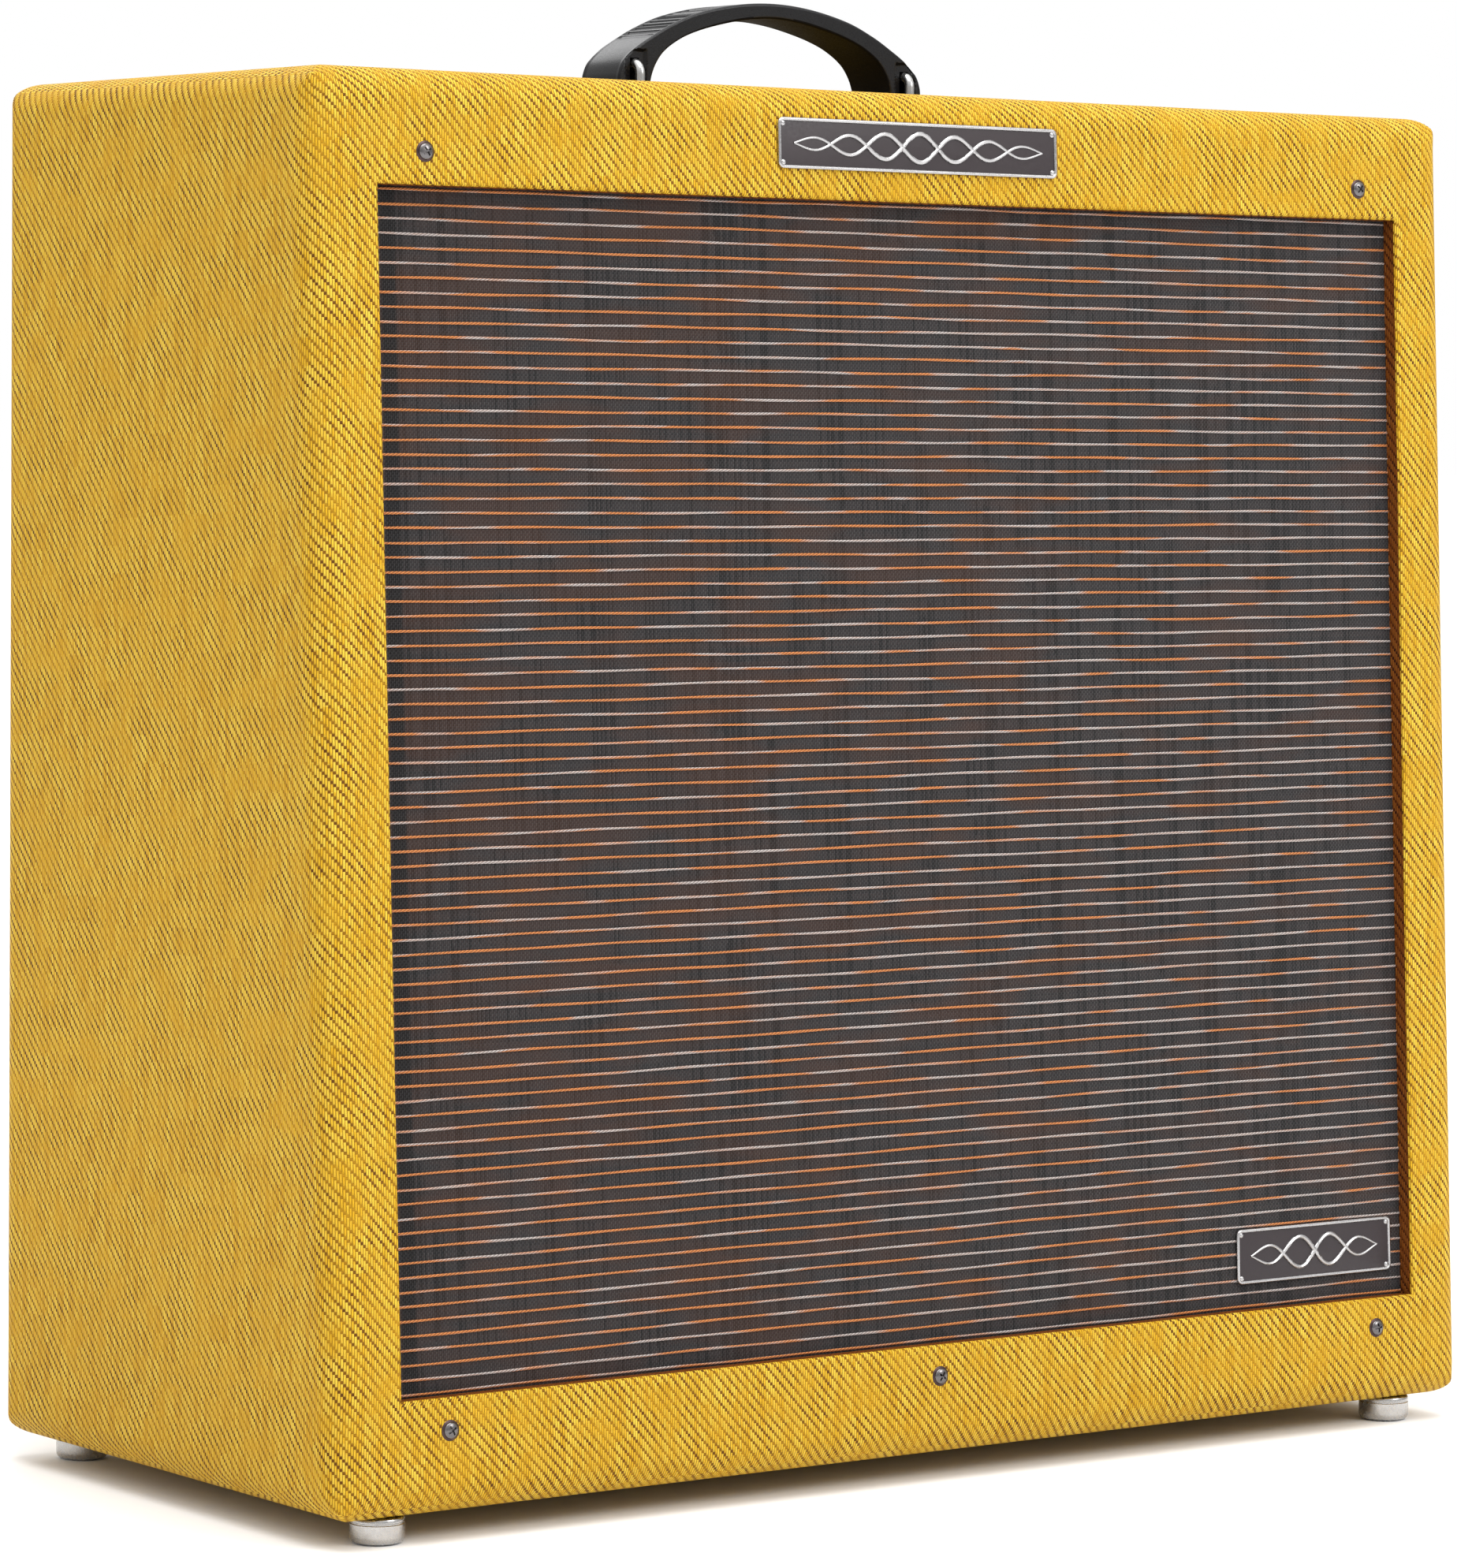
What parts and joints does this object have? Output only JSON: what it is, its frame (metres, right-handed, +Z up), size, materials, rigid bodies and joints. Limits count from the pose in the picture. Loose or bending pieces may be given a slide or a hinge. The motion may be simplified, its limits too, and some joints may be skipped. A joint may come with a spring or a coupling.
{
  "type": "guitar amplifier",
  "caption": "Open-back guitar combo amplifier in woven covering, with a leaning striped grille, top control panel, strap handle and glide feet.",
  "frame": {"origin": "on the floor under the middle of the cabinet's outside box", "axes": "+Z up; the grille faces -Y; +Y towards the open back; +X to the right seen from the front"},
  "size_m": [0.597, 0.267, 0.6195],
  "materials": {
    "pine": "sanded pine with visible finger joints, satin",
    "hardwood_strip": "plain sawn strip, unfinished",
    "tweed": "lacquered yellow and brown twill with diagonal ribs",
    "birch_ply": "birch plywood, dark stained",
    "grille_cloth": "dark oxblood woven cloth with pale raised stripes",
    "nickel": "bright nickel plate",
    "enamel_badge": "dark enamel field in a bright raised border",
    "moulded_black": "soft moulded black plastic, satin",
    "knob_black": "glossy black phenolic",
    "chrome_panel": "polished chrome plate",
    "steel": "zinc-plated sheet steel",
    "circuit": "green circuit board with parts",
    "socket_black": "black moulded plastic",
    "jewel": "faceted amber-red jewel",
    "basket": "grey stove enamel on pressed steel",
    "magnet": "ferrite ring between zinc-plated steel plates",
    "cone_paper": "dark felted paper with a rolled edge",
    "gasket": "cork-coloured fibre gasket"
  },
  "bodies": {
    "cabinet": {"side_board_left": "pine", "side_board_right": "pine", "top_board": "pine", "bottom_board": "pine", "front_rail_top": "hardwood_strip", "front_rail_bottom": "hardwood_strip", "front_cleats": "hardwood_strip", "tweed_cover": "tweed", "baffle_board": "birch_ply", "grille_cloth": "grille_cloth", "baffle_screws": "nickel", "nameplate_top": "enamel_badge", "nameplate_small": "enamel_badge", "glide_feet": "nickel", "handle_bails": "nickel", "upper_back_panel": "tweed", "lower_back_panel": "tweed", "back_cleats": "hardwood_strip", "back_panel_screws": "nickel", "chassis": "steel", "control_panel": "chrome_panel", "signal_board": "circuit", "amplifier_board": "circuit", "power_supply": "circuit", "rotary_controls": "steel", "toggle_bodies": "steel", "pilot_lamp_holder": "nickel", "pilot_jewel": "jewel", "input_jack_1": "socket_black", "input_jack_2": "socket_black", "input_jack_3": "socket_black", "input_jack_4": "socket_black", "panel_nuts": "nickel", "mains_inlet": "socket_black", "line_out_socket": "nickel", "speaker_basket_1": "basket", "speaker_basket_2": "basket", "speaker_basket_3": "basket", "speaker_basket_4": "basket", "speaker_magnet_1": "magnet", "speaker_magnet_2": "magnet", "speaker_magnet_3": "magnet", "speaker_magnet_4": "magnet", "speaker_gaskets": "gasket", "speaker_bolts": "nickel", "mounting_screws": "nickel"},
    "handle": {"handle": "moulded_black"},
    "selector": {"selector_knob": "knob_black"},
    "power_toggle": {"toggle_lever_power": "nickel"},
    "standby_toggle": {"toggle_lever_standby": "nickel"},
    "presence_control": {"knob_presence": "knob_black"},
    "middle_control": {"knob_middle": "knob_black"},
    "bass_control": {"knob_bass": "knob_black"},
    "treble_control": {"knob_treble": "knob_black"},
    "volume_bright_control": {"knob_volume_bright": "knob_black"},
    "volume_normal_control": {"knob_volume_normal": "knob_black"},
    "cone_1": {"speaker_cone_1": "cone_paper"},
    "cone_2": {"speaker_cone_2": "cone_paper"},
    "cone_3": {"speaker_cone_3": "cone_paper"},
    "cone_4": {"speaker_cone_4": "cone_paper"}
  },
  "joints": [
    {"name": "handle_lift", "type": "slide", "parent": "cabinet", "child": "handle", "axis": [0, 0, 1], "range_m": [0, 0.006]},
    {"name": "presence_turn", "type": "hinge", "parent": "cabinet", "child": "presence_control", "pos_m": [0.105, 0.085, 0.559], "axis": [0, 0, 1], "range_deg": [-150, 150]},
    {"name": "middle_turn", "type": "hinge", "parent": "cabinet", "child": "middle_control", "pos_m": [0.065, 0.085, 0.559], "axis": [0, 0, 1], "range_deg": [-150, 150]},
    {"name": "bass_turn", "type": "hinge", "parent": "cabinet", "child": "bass_control", "pos_m": [0.025, 0.085, 0.559], "axis": [0, 0, 1], "range_deg": [-150, 150]},
    {"name": "treble_turn", "type": "hinge", "parent": "cabinet", "child": "treble_control", "pos_m": [-0.015, 0.085, 0.559], "axis": [0, 0, 1], "range_deg": [-150, 150]},
    {"name": "volume_bright_turn", "type": "hinge", "parent": "cabinet", "child": "volume_bright_control", "pos_m": [-0.055, 0.085, 0.559], "axis": [0, 0, 1], "range_deg": [-150, 150]},
    {"name": "volume_normal_turn", "type": "hinge", "parent": "cabinet", "child": "volume_normal_control", "pos_m": [-0.095, 0.085, 0.559], "axis": [0, 0, 1], "range_deg": [-150, 150]},
    {"name": "selector_turn", "type": "hinge", "parent": "cabinet", "child": "selector", "pos_m": [0.092, 0.12, 0.53], "axis": [0, 1, 0], "range_deg": [-75, 75]},
    {"name": "power_switch", "type": "hinge", "parent": "cabinet", "child": "power_toggle", "pos_m": [0.225, 0.085, 0.56], "axis": [0, -1, 0], "range_deg": [0, 24]},
    {"name": "standby_switch", "type": "hinge", "parent": "cabinet", "child": "standby_toggle", "pos_m": [0.19, 0.085, 0.56], "axis": [0, -1, 0], "range_deg": [0, 24]},
    {"name": "cone_1_travel", "type": "slide", "parent": "cabinet", "child": "cone_1", "axis": [0, 0.9988, -0.0493], "range_m": [-0.0015, 0.0015], "stiffness_N_per_m": 2500},
    {"name": "cone_2_travel", "type": "slide", "parent": "cabinet", "child": "cone_2", "axis": [0, 0.9988, -0.0493], "range_m": [-0.0015, 0.0015], "stiffness_N_per_m": 2500},
    {"name": "cone_3_travel", "type": "slide", "parent": "cabinet", "child": "cone_3", "axis": [0, 0.9988, -0.0493], "range_m": [-0.0015, 0.0015], "stiffness_N_per_m": 2500},
    {"name": "cone_4_travel", "type": "slide", "parent": "cabinet", "child": "cone_4", "axis": [0, 0.9988, -0.0493], "range_m": [-0.0015, 0.0015], "stiffness_N_per_m": 2500}
  ],
  "couplings": [
    {"joint": "cone_2_travel", "follows": "cone_1_travel", "ratio": 1},
    {"joint": "cone_3_travel", "follows": "cone_1_travel", "ratio": 1},
    {"joint": "cone_4_travel", "follows": "cone_1_travel", "ratio": 1}
  ]
}
